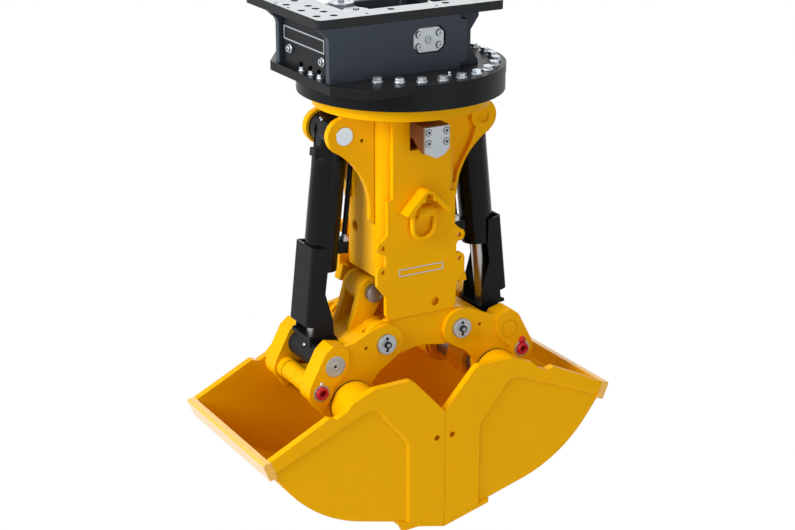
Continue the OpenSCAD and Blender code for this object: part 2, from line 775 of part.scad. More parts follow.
// Fork for the sync link, on the left arm only
module sync_fork() for (y = [-sync_w / 2 - 0.5 - fork_t, sync_w / 2 + 0.5]) plate_y(y, fork_t) difference() {
    union() {
        translate(sync_up) circle(sync_eye_r);
        polygon([[sync_up[0] - 30, sync_up[1] + 13], [-142, -690], [-156, -727], [-130, -740], [-arm_x, -arm_z + 38],
            [sync_up[0] + 20, sync_up[1] - 26]]);
        translate([-arm_x, -arm_z]) circle(arm_tube_r + 4);
    }
    translate(sync_up) circle(20 + fit);
    translate([-arm_x, -arm_z]) circle(arm_tube_r);
}

// Lever for the sync link, on the right arm only
module sync_arm_lever() plate_y(-lever_w / 2, lever_w) difference() {
    union() {
        translate(sync_low) circle(sync_pin_r + sync_play + 9);
        polygon([[sync_low[0], sync_low[1] + 31], [arm_x, -arm_z + 42], [arm_x, -arm_z - 42], [sync_low[0], sync_low[1] - 31]]);
        translate([arm_x, -arm_z]) circle(arm_tube_r + 6);
    }
    translate(sync_low) circle(sync_pin_r + sync_play);
    translate([arm_x, -arm_z]) circle(arm_tube_r);
}

module arm_left() color(paint) at_slew() arm();
module arm_right() color(paint) at_slew() half_turn() arm();

module arm_beam_left() color(paint) at_slew() {
    arm_beam();
    sync_fork();
}

module arm_beam_right() color(paint) at_slew() {
    half_turn() arm_beam();
    sync_arm_lever();
}

module sync_link() color(paint) at_slew() difference() {
    union() {
        plate_y(-sync_w / 2, sync_w) difference() {
            union() {
                translate(sync_up) circle(sync_eye_r);
                link_bar(23);
                translate(sync_low) circle(20);
            }
            translate(sync_up) circle(20 + fit);
        }
    }
    difference() {
        plate_y(-lever_w / 2 - 0.5, lever_w + 1) lever_sweep();
        bar_y(sync_low[0], sync_low[1], sync_pin_r, -40, 40);
    }
}

// Room that the right lever needs between the link's two cheeks
module lever_sweep() translate(sync_low) rotate(-50) translate([-60, -70]) square([154, 140]);

// Straight bar between the two sync pins
module link_bar(half) {
    d = sync_low - sync_up;
    a = atan2(d[1], d[0]);
    translate(sync_up) rotate(a) translate([0, -half]) square([norm(d), 2 * half]);
}

module sync_pin() color("gray") at_slew()
    bar_y(sync_up[0], sync_up[1], 20, -sync_w / 2 - fork_t - 15, sync_w / 2 + fork_t + 15);

// Discs over the pivot and lock pins of one arm, and over the rod pin on one side of it
module pin_covers() {
    for (s = [0, 1]) mirror([0, s, 0]) {
        difference() {
            bar_y(-arm_x, -arm_z, 23, -arm_face - 7, -arm_face + 30);
            for (z = [-14, 14]) bar_y(-arm_x, -arm_z + z, 3.5, -arm_face - 8, -arm_face + 5);
        }
        bar_y(-arm_x, -arm_z, 8, -arm_face - 12, -arm_face - 7);
        difference() {
            bar_y(-lock_x, -lock_z, 19, -pad_face - 2, -arm_face);
            bar_y(-lock_x, -lock_z, 15.5, -pad_face - 3, 0);
        }
    }
    bar_y(-rod_x, -rod_z, 24, -pad_face, -arm_face);
}

module pin_covers_left() color("silver") at_slew() pin_covers();
module pin_covers_right() color("silver") at_slew() half_turn() pin_covers();

// Lock bolt of one side plate, reaching into the shell's lug
module lock_bolt() difference() {
    union() {
        bar_y(-lock_x, -lock_z, lock_r, -arm_face, -2);
        bar_y(-lock_x, -lock_z, 15, -pad_face - 4, -arm_face);
    }
    bar_y(-lock_x, -lock_z, 7, -pad_face - 5, -pad_face + 4, $fn = 6);
}

module lock_bolt_pair() for (s = [0, 1]) mirror([0, s, 0]) lock_bolt();

module lock_bolts_left() color("crimson") at_slew() lock_bolt_pair();
module lock_bolts_right() color("crimson") at_slew() half_turn() lock_bolt_pair();

// Shells, drawn for the right side

// Outer line of the floor sheet, from the seam to the lip, shifted inwards by d
function floor_line(d) = let(a = floor_slope, b = back_slope)
    concat([[seam_gap / 2, floor_z0 + seam_gap / 2 * tan(a) + d / cos(a)]],
        arc_points(bend_cx, bend_cz, bend_r - d, a - 90, b - 90, 12),
        [[bend_cx + (bend_r - d) * sin(b) + back_len * cos(b), bend_cz - (bend_r - d) * cos(b) + back_len * sin(b)]]);

function reversed(v) = [for (i = [len(v) - 1 : -1 : 0]) v[i]];

module cheek_outline() difference() {
    polygon(concat([[seam_gap / 2, -892], [79, -805], [88, -800], [178, -801], [231, -822],
        [249, -840], [273, -851], [291, -845], [lip_x - 17, -lip_z + 7], [lip_x - 33, -lip_z - 30]],
        reversed(floor_line(0))));
    lip_outline();
}

module shell_right_body() {
    for (s = [0, 1]) mirror([0, s, 0]) {
        difference() {
            union() {
                plate_y(-cheek_y, cheek_t) cheek_outline();
                bar_y(shaft_x, -shaft_z, 52, -cheek_y + cheek_t, -arm_face - 1);
            }
            bar_y(shaft_x, -shaft_z, shaft_r + fit, -cheek_y + 3, 0);
            bar_y(20, -953, 7, -shell_w / 2 - 1, 0);
        }
    }
    lock_lug();
}

// Bent floor sheet between the two side plates
module floor_sheet() plate_y(-cheek_y + cheek_t, 2 * (cheek_y - cheek_t)) difference() {
    polygon(concat(floor_line(0), reversed(floor_line(sheet_t))));
    lip_outline();
}

// Borders that stand proud of the two side plates and frame a recess with bevelled edges
module side_borders() for (s = [0, 1]) mirror([0, s, 0]) difference() {
    plate_y(-shell_w / 2, dish_t) cheek_outline();
    hull() {
        plate_y(-shell_w / 2 - 1, 1) recess_outline(dish_bevel);
        plate_y(-cheek_y, 1) recess_outline(0);
    }
    bar_y(20, -953, 7, -shell_w / 2 - 1, 0);
}

module recess_outline(d) hull() {
    translate([189, -880]) circle(25 + d, $fn = 32);
    translate([140, -963]) circle(40 + d, $fn = 32);
    polygon([[100 - d, -1000], [100 - d, -1300], [520, -1300], [520, -989 + d]]);
}

// Lug between the two lock bolts, welded to a sleeve on the shaft
module lock_lug() difference() {
    union() {
        bar_y(shaft_x, -shaft_z, 45, -40, 28);
        plate_y(-40, 54) polygon([[shaft_x - 20, -shaft_z + 38], [lock_x - 14, -lock_z + 13], [lock_x + 14, -lock_z + 13],
            [lock_x + 22, -lock_z - 6], [shaft_x + 30, -shaft_z - 32]]);
        bar_y(lock_x, -lock_z, 23, -40, 14);
    }
    bar_y(shaft_x, -shaft_z, shaft_r + fit, -50, 50);
    bar_y(lock_x, -lock_z, lock_r + fit, -50, 50);
}

module lip_outline() polygon([[lip_x, -lip_z], [lip_x - 15.5, -lip_z - 37], [lip_x - 33, -lip_z - 30],
    [lip_x - 17, -lip_z + 7], [lip_x - 4, -lip_z + 6]]);

module lip() plate_y(-shell_w / 2, shell_w) lip_outline();

module cutting_edge() plate_y(-shell_w / 2, shell_w) polygon([[seam_gap / 2, -seam_z], [118, -seam_z + 30],
    [120, floor_z0 + 120 * tan(floor_slope)], [seam_gap / 2, floor_z0 + seam_gap / 2 * tan(floor_slope)]]);

// One flat tooth under the cutting edge, pointing across the seam
module tooth(y) translate([seam_gap / 2, y, -seam_z]) rotate([0, -edge_slope, 0]) translate([0, 0, -tooth_t])
    linear_extrude(tooth_t) polygon([[72, -tooth_pitch + 9], [72, tooth_pitch - 9], [-72, 7], [-72, -7]]);

module shell_shaft() bar_y(shaft_x, -shaft_z, shaft_r, -cheek_y + 4, cheek_y - 4);

module shell_right() color(paint) at_slew() shell_right_body();
module shell_left() color(paint) at_slew() half_turn() shell_right_body();
module shaft_right() color("dimgray") at_slew() shell_shaft();
module shaft_left() color("dimgray") at_slew() half_turn() shell_shaft();
module floor_right() color(paint) at_slew() floor_sheet();
module floor_left() color(paint) at_slew() half_turn() floor_sheet();
module dished_right() color(paint) at_slew() side_borders();
module dished_left() color(paint) at_slew() half_turn() side_borders();
module lip_right() color(paint) at_slew() lip();
module lip_left() color(paint) at_slew() half_turn() lip();

module cutting_edge_right() color(paint) at_slew() {
    cutting_edge();
    for (y = [-2, 0, 2] * tooth_pitch) tooth(y);
}

module cutting_edge_left() color(paint) at_slew() half_turn() {
    cutting_edge();
    for (y = [-1, 1] * tooth_pitch) tooth(y);
}

top_plate();
side_plates();
end_plates();
base_plate();
fixed_race();
ring_bolts();
slew_motors();
motor_caps();
union_housing();
port_block();
gear_race();
pinion_front();
pinion_rear();
union_spindle();
flange();
column_tube();
front_panel();
rear_panel();
ear_plates();
yoke_plates();
lift_roofs();
lift_ring_front();
lift_ring_rear();
valve_block();
valve_cover();
head_pins();
barrel_left();
barrel_right();
gland_left();
gland_right();
feed_pipe_left();
feed_pipe_right();
rod_left();
rod_right();
rod_guard_left();
rod_guard_right();
rod_pin_left();
rod_pin_right();
arm_left();
arm_right();
arm_beam_left();
arm_beam_right();
pin_covers_left();
pin_covers_right();
lock_bolts_left();
lock_bolts_right();
sync_link();
sync_pin();
shell_left();
shell_right();
shaft_left();
shaft_right();
dished_left();
dished_right();
lip_left();
lip_right();
cutting_edge_left();
cutting_edge_right();
floor_left();
floor_right();
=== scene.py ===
# %% [markdown]
# # A clamshell bucket, dressed in Blender
# The solids of the bucket come from its CAD source and are loaded as a fixed frame. This lesson
# gives them paint, steel and zinc, adds the small fittings that a CAD model leaves out, and sets
# up the camera, the light and the floor. Blender works in metres here. Places that are measured
# on the bucket are written in millimetres, and one helper turns them into metres.

# %% Load the frame
import math

import bmesh
import bpy
from mathutils import Matrix, Vector


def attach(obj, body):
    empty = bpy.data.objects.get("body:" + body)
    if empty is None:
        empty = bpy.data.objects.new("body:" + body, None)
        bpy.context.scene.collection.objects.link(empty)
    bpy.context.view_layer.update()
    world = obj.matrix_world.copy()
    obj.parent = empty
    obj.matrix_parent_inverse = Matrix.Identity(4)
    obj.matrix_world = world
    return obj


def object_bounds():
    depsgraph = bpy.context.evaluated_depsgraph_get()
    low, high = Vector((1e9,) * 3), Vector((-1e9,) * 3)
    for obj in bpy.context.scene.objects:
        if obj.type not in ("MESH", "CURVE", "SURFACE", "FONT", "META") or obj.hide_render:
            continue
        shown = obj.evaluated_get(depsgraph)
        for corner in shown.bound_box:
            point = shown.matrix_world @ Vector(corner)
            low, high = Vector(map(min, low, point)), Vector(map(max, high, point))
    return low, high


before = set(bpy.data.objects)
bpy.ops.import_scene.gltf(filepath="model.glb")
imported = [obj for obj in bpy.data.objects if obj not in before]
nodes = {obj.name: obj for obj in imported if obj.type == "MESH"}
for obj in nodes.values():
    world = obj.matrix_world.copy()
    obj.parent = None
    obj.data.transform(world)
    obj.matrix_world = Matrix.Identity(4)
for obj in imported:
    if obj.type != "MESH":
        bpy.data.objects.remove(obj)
cad_low, cad_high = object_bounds()
scene = bpy.context.scene
print("loaded", len(nodes), "solids, box", [round(x, 3) for x in (cad_high - cad_low)])

# %% [markdown]
# ## Camera
# The camera stands in front, to the left and a little above, as a visitor would who looks at
# the bucket hanging from its boom. A long lens keeps the upright edges nearly parallel. Its
# direction is worked out from two angles, which are easier to read than a rotation matrix.

# %% Camera
AZIMUTH = math.radians(-29.947)
ELEVATION = math.radians(19.564)
CAMERA_PLACE = (-1.8512, -3.3166, 0.7317)
LENS = 79.96
camera = bpy.data.objects.new("camera", bpy.data.cameras.new("camera"))
scene.collection.objects.link(camera)
backward = Vector((
    math.sin(AZIMUTH) * math.cos(ELEVATION),
    -math.cos(AZIMUTH) * math.cos(ELEVATION),
    math.sin(ELEVATION),
))
camera.location = CAMERA_PLACE
camera.rotation_mode = "QUATERNION"
camera.rotation_quaternion = (-backward).to_track_quat("-Z", "Y")
camera.data.sensor_width = 36.0
camera.data.lens = LENS
camera.data.clip_start = 0.05
camera.data.clip_end = 50
scene.camera = camera
print("camera at", CAMERA_PLACE, "lens", LENS)

# %% [markdown]
# ## Sky
# The sky is pure white to the camera and to mirror-like surfaces, so that metal shows a white
# studio. On everything else it shines weakly, because a sky of full strength would wash the
# paint out. A Light Path node tells the two kinds of ray apart.

# %% Sky
WHITE = (1, 1, 1, 1)
SKY_STRENGTH = 0.225
scene.view_settings.view_transform = "Standard"


def white_to_camera(tree, shader):
    """Shows white to the camera and to mirror-like surfaces, and the given shader to all else."""
    path = tree.nodes.new("ShaderNodeLightPath")
    seen = tree.nodes.new("ShaderNodeMath")
    seen.operation = "MAXIMUM"
    tree.links.new(path.outputs["Is Camera Ray"], seen.inputs[0])
    tree.links.new(path.outputs["Is Glossy Ray"], seen.inputs[1])
    kind = "ShaderNodeBackground" if shader.type == "BACKGROUND" else "ShaderNodeEmission"
    plain = tree.nodes.new(kind)
    plain.inputs["Color"].default_value = WHITE
    mix = tree.nodes.new("ShaderNodeMixShader")
    tree.links.new(seen.outputs[0], mix.inputs[0])
    tree.links.new(shader.outputs[0], mix.inputs[1])
    tree.links.new(plain.outputs[0], mix.inputs[2])
    return mix


world = bpy.data.worlds.new("studio")
scene.world = world
world.use_nodes = True
world.node_tree.nodes.clear()
sky = world.node_tree.nodes.new("ShaderNodeBackground")
sky.inputs["Color"].default_value = WHITE
sky.inputs["Strength"].default_value = SKY_STRENGTH
world_out = world.node_tree.nodes.new("ShaderNodeOutputWorld")
world.node_tree.links.new(white_to_camera(world.node_tree, sky).outputs[0], world_out.inputs[0])
print("sky strength", SKY_STRENGTH)

# %% [markdown]
# ## Lamps
# Four large square lamps stand in for studio softboxes. The key light comes from the left and
# makes the left faces the brightest, the top light lifts all that faces up, the fill light keeps
# the front readable, and the rear light does the same for whoever walks round the bucket.

# %% Lamps
LAMPS = {
    "key_light": {"place": (-3.6, -0.45, 1.4), "target": (0, 0, -0.7), "size": 2.2, "watts": 178},
    "top_light": {"place": (0.2, -0.6, 3.0), "target": (0, 0, -0.6), "size": 2.5, "watts": 58},
    "fill_light": {"place": (0.9, -3.8, -0.2), "target": (0, 0, -0.8), "size": 2.0, "watts": 26},
    "rear_light": {"place": (1.6, 3.6, -0.5), "target": (0, 0, -0.6), "size": 2.2, "watts": 60},
}
for lamp_name, values in LAMPS.items():
    light = bpy.data.lights.new(lamp_name, "AREA")
    light.size = values["size"]
    light.energy = values["watts"]
    lamp = bpy.data.objects.new(lamp_name, light)
    scene.collection.objects.link(lamp)
    lamp.location = values["place"]
    lamp.rotation_mode = "QUATERNION"
    towards = Vector(values["target"]) - Vector(values["place"])
    lamp.rotation_quaternion = towards.to_track_quat("-Z", "Y")
print("lamps:", list(LAMPS))

# %% [markdown]
# ## Floor
# The bucket hangs, so the plain pale floor lies some way below it. It is white to the camera
# like the sky, and throws a soft light up at the underside of the shells.

# %% Floor
FLOOR_DROP = 0.35
FLOOR_SIZE = 9
FLOOR_TONE = 0.8
floor_mesh = bpy.data.meshes.new("floor")
floor_bm = bmesh.new()
bmesh.ops.create_grid(floor_bm, x_segments=1, y_segments=1, size=FLOOR_SIZE)
floor_bm.to_mesh(floor_mesh)
floor_bm.free()
floor = bpy.data.objects.new("floor", floor_mesh)
scene.collection.objects.link(floor)
floor.location.z = cad_low.z - FLOOR_DROP
floor_paint = bpy.data.materials.new("floor")
floor_paint.use_nodes = True
floor_tree = floor_paint.node_tree
floor_tree.nodes.clear()
floor_diffuse = floor_tree.nodes.new("ShaderNodeBsdfDiffuse")
floor_diffuse.inputs["Color"].default_value = (FLOOR_TONE, FLOOR_TONE, FLOOR_TONE, 1)
floor_out = floor_tree.nodes.new("ShaderNodeOutputMaterial")
floor_tree.links.new(white_to_camera(floor_tree, floor_diffuse).outputs[0], floor_out.inputs[0])
floor_mesh.materials.append(floor_paint)
print("floor at", round(floor.location.z, 3))

# %% [markdown]
# ## Shared effects
# Painted steel is never one flat colour: the coat is a little thinner on edges, dust dulls it
# here and there, and sprayed paint has a fine orange-peel skin. Each effect is a node group
# with its own inputs, so that every material can use it at its own strength. Three helpers
# make the groups short to write: an empty group, a Math node, and noise over the solid.


# %% Helpers for node groups
def group(name, inputs, outputs):
    """An empty shader group: inputs are name: default number, outputs are name: kind of socket."""
    made = bpy.data.node_groups.new(name, "ShaderNodeTree")
    for key, value in inputs.items():
        socket = made.interface.new_socket(key, in_out="INPUT", socket_type="NodeSocketFloat")
        socket.default_value = value
    for key, kind in outputs.items():
        made.interface.new_socket(key, in_out="OUTPUT", socket_type="NodeSocket" + kind)
    return made, made.nodes.new("NodeGroupInput"), made.nodes.new("NodeGroupOutput")


def math_node(tree, operation, *values, clamp=False):
    """A Math node; each value is a number or a socket."""
    made = tree.nodes.new("ShaderNodeMath")
    made.operation = operation
    made.use_clamp = clamp
    for place_in_node, value in enumerate(values):
        if isinstance(value, (int, float)):
            made.inputs[place_in_node].default_value = value
        else:
            tree.links.new(value, made.inputs[place_in_node])
    return made.outputs[0]


def noise(tree, scale, detail=4.0):
    """Noise over the solid's own place in space, in object coordinates."""
    made = tree.nodes.new("ShaderNodeTexNoise")
    tree.links.new(tree.nodes.new("ShaderNodeTexCoord").outputs["Object"], made.inputs["Vector"])
    if isinstance(scale, (int, float)):
        made.inputs["Scale"].default_value = scale
    else:
        tree.links.new(scale, made.inputs["Scale"])
    made.inputs["Detail"].default_value = detail
    made.inputs["Roughness"].default_value = 0.55
    return made.outputs["Fac"]


print("helpers for node groups are ready")

# %% [markdown]
# ### Rounded edges, rubbed and with a painted highlight
# Every sheared or machined edge of the real bucket is slightly broken and catches the light. The
# Bevel node gives the normal that a rounded edge would have. Where that normal leaves the flat
# one, there is an edge. The materials paint it lighter, partly for rubbed paint and partly as a
# painted highlight of the light it catches, and a ragged noise keeps it from looking drawn with a ruler.


# %% Edge group
def make_edge_group():
    """Edges as a mask, and a normal that rounds them by a small radius."""
    outputs = {"Normal": "Vector", "Edge": "Float"}
    tree, inside, outside = group("rounded edges", {"Radius": 0.0012}, outputs)
    rounded = tree.nodes.new("ShaderNodeBevel")
    rounded.samples = 4
    tree.links.new(inside.outputs["Radius"], rounded.inputs["Radius"])
    flat = tree.nodes.new("ShaderNodeNewGeometry")
    dot = tree.nodes.new("ShaderNodeVectorMath")
    dot.operation = "DOT_PRODUCT"
    tree.links.new(rounded.outputs["Normal"], dot.inputs[0])
    tree.links.new(flat.outputs["Normal"], dot.inputs[1])
    turned_by = math_node(tree, "SUBTRACT", 1.0, dot.outputs["Value"])
    strong = math_node(tree, "MULTIPLY", turned_by, 6.0)
    ragged = math_node(tree, "MULTIPLY_ADD", noise(tree, 90.0), 1.6, -0.35)
    tree.links.new(math_node(tree, "MULTIPLY", strong, ragged, clamp=True), outside.inputs["Edge"])
    tree.links.new(rounded.outputs["Normal"], outside.inputs["Normal"])
    return tree


edge_group = make_edge_group()
print("made", edge_group.name)

# %% [markdown]
# ### Sprayed skin and settled dust
# A fine noise gives the skin of sprayed paint as a height, and a coarse one a slow change of
# tone. Dust lies only on what faces up, so its mask is the upward part of the normal times a
# patchy noise.


# %% Skin and dust groups
def make_skin_group():
    """The skin of sprayed paint as a height, and a slow change of tone."""
    outputs = {"Height": "Float", "Tone": "Float"}
    tree, inside, outside = group("sprayed skin", {"Grain": 600.0}, outputs)
    tree.links.new(noise(tree, inside.outputs["Grain"], 2.0), outside.inputs["Height"])
    tree.links.new(noise(tree, 6.0, 5.0), outside.inputs["Tone"])
    return tree


def make_dust_group():
    """Dust that settles on what faces up, as a mask."""
    tree, inside, outside = group("settled dust", {"Amount": 0.2}, {"Mask": "Float"})
    facing_way = tree.nodes.new("ShaderNodeSeparateXYZ")
    tree.links.new(tree.nodes.new("ShaderNodeNewGeometry").outputs["Normal"], facing_way.inputs[0])
    up = math_node(tree, "MAXIMUM", facing_way.outputs["Z"], 0.0)
    patchy = math_node(tree, "MULTIPLY_ADD", noise(tree, 22.0, 6.0), 1.8, -0.5, clamp=True)
    both = math_node(tree, "MULTIPLY", up, patchy)
    mask = math_node(tree, "MULTIPLY", both, inside.outputs["Amount"], clamp=True)
    tree.links.new(mask, outside.inputs["Mask"])
    return tree


skin_group = make_skin_group()
dust_group = make_dust_group()
print("made", skin_group.name, "and", dust_group.name)

# %% [markdown]
# ## Materials
# One maker builds every finish from the three effects: a base colour that changes slowly in
# tone, a lighter colour on edges that is partly rubbed paint and partly a painted highlight, dust
# on top, and a bump for the skin. Paint and metal differ only in its values, which keeps the
# finishes comparable.

# %% Material maker
DUST_COLOUR = "#b9ad97"
BUMP_DEPTH = 0.0004


def linear(hex_colour):
    """A colour written as #rrggbb, as the linear values that Blender's sockets take."""
    parts = [int(hex_colour[i : i + 2], 16) / 255 for i in (1, 3, 5)]
    return tuple(c / 12.92 if c <= 0.04045 else ((c + 0.055) / 1.055) ** 2.4 for c in parts) + (1.0,)


def mix_colour(tree, mask, under, over):
    """Over on under by a mask; each is a value or a socket."""
    made = tree.nodes.new("ShaderNodeMix")
    made.data_type = "RGBA"
    for place_in_node, value in ((0, mask), (6, under), (7, over)):
        if isinstance(value, (int, float, tuple)):
            made.inputs[place_in_node].default_value = value
        else:
            tree.links.new(value, made.inputs[place_in_node])
    return made.outputs[2]


def use(tree, made_group, **values):
    """Places a node group and sets its inputs."""
    made = tree.nodes.new("ShaderNodeGroup")
    made.node_tree = made_group
    for key, value in values.items():
        made.inputs[key].default_value = value
    return made


def painted(
    name, colour, scuffed_and_highlit, rough, metal=0.0, coat=0.0, scuff_and_highlight=0.5, grain=600.0, peel=0.02, dust=0.15,
    radius=0.0012, tone=0.12, gleam=0.5,
):
    """Paint or metal with a skin, edges lightened by rubbing and by a painted highlight, and dust; gleam is
    how much light its surface mirrors.
    """
    made = bpy.data.materials.new(name)
    made.use_nodes = True
    made.diffuse_color = linear(colour)
    tree = made.node_tree
    shader = tree.nodes["Principled BSDF"]
    shader.inputs["Metallic"].default_value = metal
    shader.inputs["Coat Weight"].default_value = coat
    shader.inputs["Coat Roughness"].default_value = 0.12
    shader.inputs["Specular IOR Level"].default_value = gleam
    edges = use(tree, edge_group, Radius=radius)
    skin = use(tree, skin_group, Grain=grain)
    dirt = use(tree, dust_group, Amount=dust)
    base = linear(colour)
    dark = tuple(c * (1 - tone) for c in base[:3]) + (1.0,)
    toned = mix_colour(tree, skin.outputs["Tone"], dark, base)
    # Lighter edges: partly rubbed paint, partly a painted highlight.
    scuff_and_highlight_mask = math_node(tree, "MULTIPLY", edges.outputs["Edge"], scuff_and_highlight)
    edged = mix_colour(tree, scuff_and_highlight_mask, toned, linear(scuffed_and_highlit))
    dusty = mix_colour(tree, dirt.outputs["Mask"], edged, linear(DUST_COLOUR))
    tree.links.new(dusty, shader.inputs["Base Color"])
    rougher = math_node(tree, "MULTIPLY_ADD", skin.outputs["Tone"], 0.16, rough - 0.08)
    dull = math_node(tree, "ADD", rougher, dirt.outputs["Mask"], clamp=True)
    tree.links.new(dull, shader.inputs["Roughness"])
    bump = tree.nodes.new("ShaderNodeBump")
    bump.inputs["Strength"].default_value = peel * 5
    bump.inputs["Distance"].default_value = BUMP_DEPTH
    tree.links.new(skin.outputs["Height"], bump.inputs["Height"])
    tree.links.new(edges.outputs["Normal"], bump.inputs["Normal"])
    tree.links.new(bump.outputs["Normal"], shader.inputs["Normal"])
    return made


print("the material maker is ready")

# %% [markdown]
# ## Paints
# The column, arms and shells have a warm yellow coat, glossier on the lips, whose edges are
# painted near white: partly rubbed paint, partly a painted highlight. The adapter, the guards and
# the cylinders are black: a plain satin black, a glossier one on the cylinders, and on the side
# plates a lighter, bluish copy of the black that is a painted sheen of the light on their front.
# The lock bolts are red, so that an operator sees at once whether they are in place.

# %% Paints
YELLOW = "#f6b300"
yellow = painted(
    "yellow_coat", YELLOW, "#fcc420", 0.36, scuff_and_highlight=0.25, dust=0.0, radius=0.0024, tone=0.04, gleam=0.05
)
# The near-white on the lips' edges is partly rubbed paint and partly a painted highlight.
yellow_gloss = painted(
    "yellow_gloss", YELLOW, "#fff2cc", 0.3, coat=1.0, scuff_and_highlight=0.8, dust=0.0, radius=0.003, tone=0.05
)
black = painted("black_coat", "#0f1114", "#3c4045", 0.42, scuff_and_highlight=0.45, dust=0.02, radius=0.0016, gleam=0.12)
black_gloss = painted("black_gloss", "#0a0b0c", "#4a5056", 0.22, dust=0.0, radius=0.0016, gleam=0.14)
# A lighter, bluish copy of the black for the side plates: a painted sheen of the light on their front.
black_painted_sheen = painted("black_painted_sheen", "#3a424b", "#5a6066", 0.4, dust=0.02, radius=0.0016, gleam=0.12)
red = painted("red_coat", "#c01c28", "#e8606a", 0.35, coat=0.1, scuff_and_highlight=0.4, dust=0.0, gleam=0.2)
# The valve block's brown is painted reflection of the yellow paint and painted shade on it.
brown_painted_reflection = painted("brown_painted_reflection_coat", "#6e4029", "#8c5a3c", 0.45, coat=0.02, scuff_and_highlight=0.4, dust=0.02, gleam=0.2)
print("paints:", [m.name for m in (yellow, yellow_gloss, black, black_gloss, black_painted_sheen, red, brown_painted_reflection)])

# %% [markdown]
# ## Metals
# Bolts and covers are zinc plated, gears and shafts are bare steel, and the piston rods are
# chromed. A much finer grain than on the paint gives them a brushed look from close by.

# %% Metals
zinc = painted(
    "zinc_plate", "#b9c0c6", "#e4e8ea", 0.34, metal=0.85, scuff_and_highlight=0.6, grain=1500.0, peel=0.01, dust=0.05
)
dull_zinc = painted("dull_zinc", "#a6adb1", "#d0d5d8", 0.42, metal=0.75, grain=1500.0, peel=0.01, dust=0.05)
steel = painted(
    "bare_steel", "#8e949a", "#c8ccd0", 0.38, metal=0.9, scuff_and_highlight=0.6, grain=1500.0, peel=0.012, dust=0.05
)
milled = painted(
    "milled_plate", "#c6cacc", "#dfe1e2", 0.5, scuff_and_highlight=0.0, grain=900.0, peel=0.01, dust=0.0, gleam=0.2
)
chrome = painted(
    "chromed_rod", "#b4b0ac", "#ffffff", 0.3, metal=1.0, scuff_and_highlight=0.1, grain=2500.0, peel=0.004, dust=0.0
)
print("metals:", [m.name for m in (zinc, dull_zinc, steel, milled, chrome)])

# %% [markdown]
# ## Two finishes on one solid
# The top plate is painted black and then milled flat, so its upper face alone is bare: the mask
# comes from the normal. A rod is black at its eye and chromed above it: there the mask comes
# from the height in the solid's own coordinates, which ride with the rod when it moves.


# %% Two-tone finishes
def only_on_top(finish, colour):
    """Keeps a finish on what faces up and paints all else."""
    tree = finish.node_tree
    shader = tree.nodes["Principled BSDF"]
    normal = tree.nodes.new("ShaderNodeSeparateXYZ")
    tree.links.new(tree.nodes.new("ShaderNodeNewGeometry").outputs["True Normal"], normal.inputs[0])
    aside = math_node(tree, "LESS_THAN", normal.outputs["Z"], 0.9)
    base = shader.inputs["Base Color"].links[0].from_socket
    tree.links.new(mix_colour(tree, aside, base, linear(colour)), shader.inputs["Base Color"])


def split_finish(name, low, high, height):
    """The low finish below a height in the solid's own coordinates, and the high one above it."""
    made = high.copy()
    made.name = name
    tree = made.node_tree
    shader = tree.nodes["Principled BSDF"]
    where = tree.nodes.new("ShaderNodeSeparateXYZ")
    tree.links.new(tree.nodes.new("ShaderNodeTexCoord").outputs["Object"], where.inputs[0])
    below = math_node(tree, "LESS_THAN", where.outputs["Z"], height)
    base = shader.inputs["Base Color"].links[0].from_socket
    tree.links.new(mix_colour(tree, below, base, low.diffuse_color[:]), shader.inputs["Base Color"])
    rough = shader.inputs["Roughness"].links[0].from_socket
    tree.links.new(math_node(tree, "MULTIPLY_ADD", below, 0.3, rough), shader.inputs["Roughness"])
    tree.links.new(math_node(tree, "SUBTRACT", 1.0, below), shader.inputs["Metallic"])
    shader.inputs["Specular IOR Level"].default_value = 0.22
    return made


only_on_top(milled, "#15171a")
print(milled.name, "is bare on its upper face only")

# %% [markdown]
# ## Dressing the solids
# A solid whose shape is right keeps its mesh and only gets a finish. The list below says what
# each one is made of on the real bucket. The rods get a black foot under their chrome, and all
# that isn't named is painted yellow.

# %% Finishes of the solids
FINISH_OF = {
    "milled_plate": ["top_plate"],
    "yellow_gloss": ["lip_left", "lip_right"],
    "black_coat": [
        "fixed_race", "slew_motors", "union_housing", "rod_guard_left", "rod_guard_right",
        "end_plates", "base_plate",
    ],
    "black_painted_sheen": ["side_plates"],
    "black_gloss": [
        "barrel_left", "barrel_right", "gland_left", "gland_right", "feed_pipe_left", "feed_pipe_right",
    ],
    "zinc_plate": ["ring_bolts", "motor_caps", "head_pins"],
    "dull_zinc": ["port_block", "valve_cover", "pin_covers_left", "pin_covers_right"],
    "bare_steel": [
        "gear_race", "pinion_front", "pinion_rear", "union_spindle", "rod_pin_left",
        "rod_pin_right", "sync_pin", "shaft_left", "shaft_right",
    ],
    "red_coat": ["lock_bolts_left", "lock_bolts_right"],
    "brown_painted_reflection_coat": ["valve_block"],
}
ROD_EYE_HEIGHT = 0.069


def dress(solid, finish):
    """Gives a solid one finish all over."""
    solid.data.materials.clear()
    solid.data.materials.append(finish)


finish_by_node = {node: finish for finish, members in FINISH_OF.items() for node in members}
for node_name, solid in nodes.items():
    dress(solid, bpy.data.materials[finish_by_node.get(node_name, "yellow_coat")])
for node_name in ("rod_left", "rod_right"):
    solid = nodes[node_name]
    foot = min(corner[2] for corner in solid.bound_box)
    dress(solid, split_finish(node_name + "_coat", black, chrome, foot + ROD_EYE_HEIGHT))
print("dressed", len(nodes), "solids,", len(finish_by_node) + 2, "of them in other finishes than yellow")

# %% [markdown]
# ## Places on the bucket
# All that turns hangs from the slewing axis, so places are measured from that axis and from the
# mounting face, in millimetres. The right side is the left side after half a turn about the
# same axis: a place on the left gives both.

